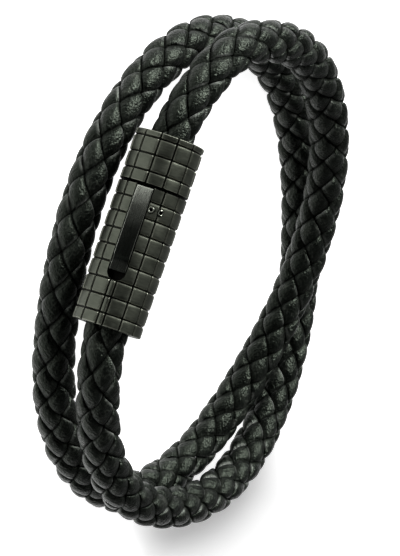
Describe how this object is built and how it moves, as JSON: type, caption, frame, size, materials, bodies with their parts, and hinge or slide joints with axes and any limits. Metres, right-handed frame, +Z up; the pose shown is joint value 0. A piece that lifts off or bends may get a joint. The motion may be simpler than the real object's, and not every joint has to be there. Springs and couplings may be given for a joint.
{
  "type": "leather wrap bracelet",
  "caption": "Round braided leather cord laid twice round the wrist and closed by a ribbed metal tube clasp with a flat hinged lever.",
  "frame": {"origin": "on the table under the middle of the bracelet's box, with the bracelet lying on its side", "axes": "+Z up, square to the table; +X along the clasp, from its cap to its barrel, within a few degrees; -Y from the middle towards the clasp"},
  "size_m": [0.0739, 0.0715, 0.0168],
  "materials": {
    "braided_leather": "near-black dyed leather, satin, fine wrinkled grain, lighter worn edges",
    "clasp_metal": "dark gunmetal, aged satin, bright rubbed edges on square ribs, dark grooves",
    "lever_metal": "smooth dark gunmetal, finely brushed along its length"
  },
  "bodies": {
    "root": {"clasp_cap": "clasp_metal", "clasp_barrel": "clasp_metal", "clasp_post": "clasp_metal", "hinge_pin": "lever_metal", "latch_pin_near": "lever_metal", "latch_pin_far": "lever_metal", "lace_right_1": "braided_leather", "lace_right_2": "braided_leather", "lace_right_3": "braided_leather", "lace_right_4": "braided_leather", "lace_left_1": "braided_leather", "lace_left_2": "braided_leather", "lace_left_3": "braided_leather", "lace_left_4": "braided_leather"},
    "lever": {"lever": "lever_metal"}
  },
  "joints": [
    {"name": "lever_hinge", "type": "hinge", "parent": "root", "child": "lever", "pos_m": [-0.00747, -0.0339, 0.01271], "axis": [0.0102, -0.2849, -0.9585], "range_deg": [0, 60]}
  ]
}
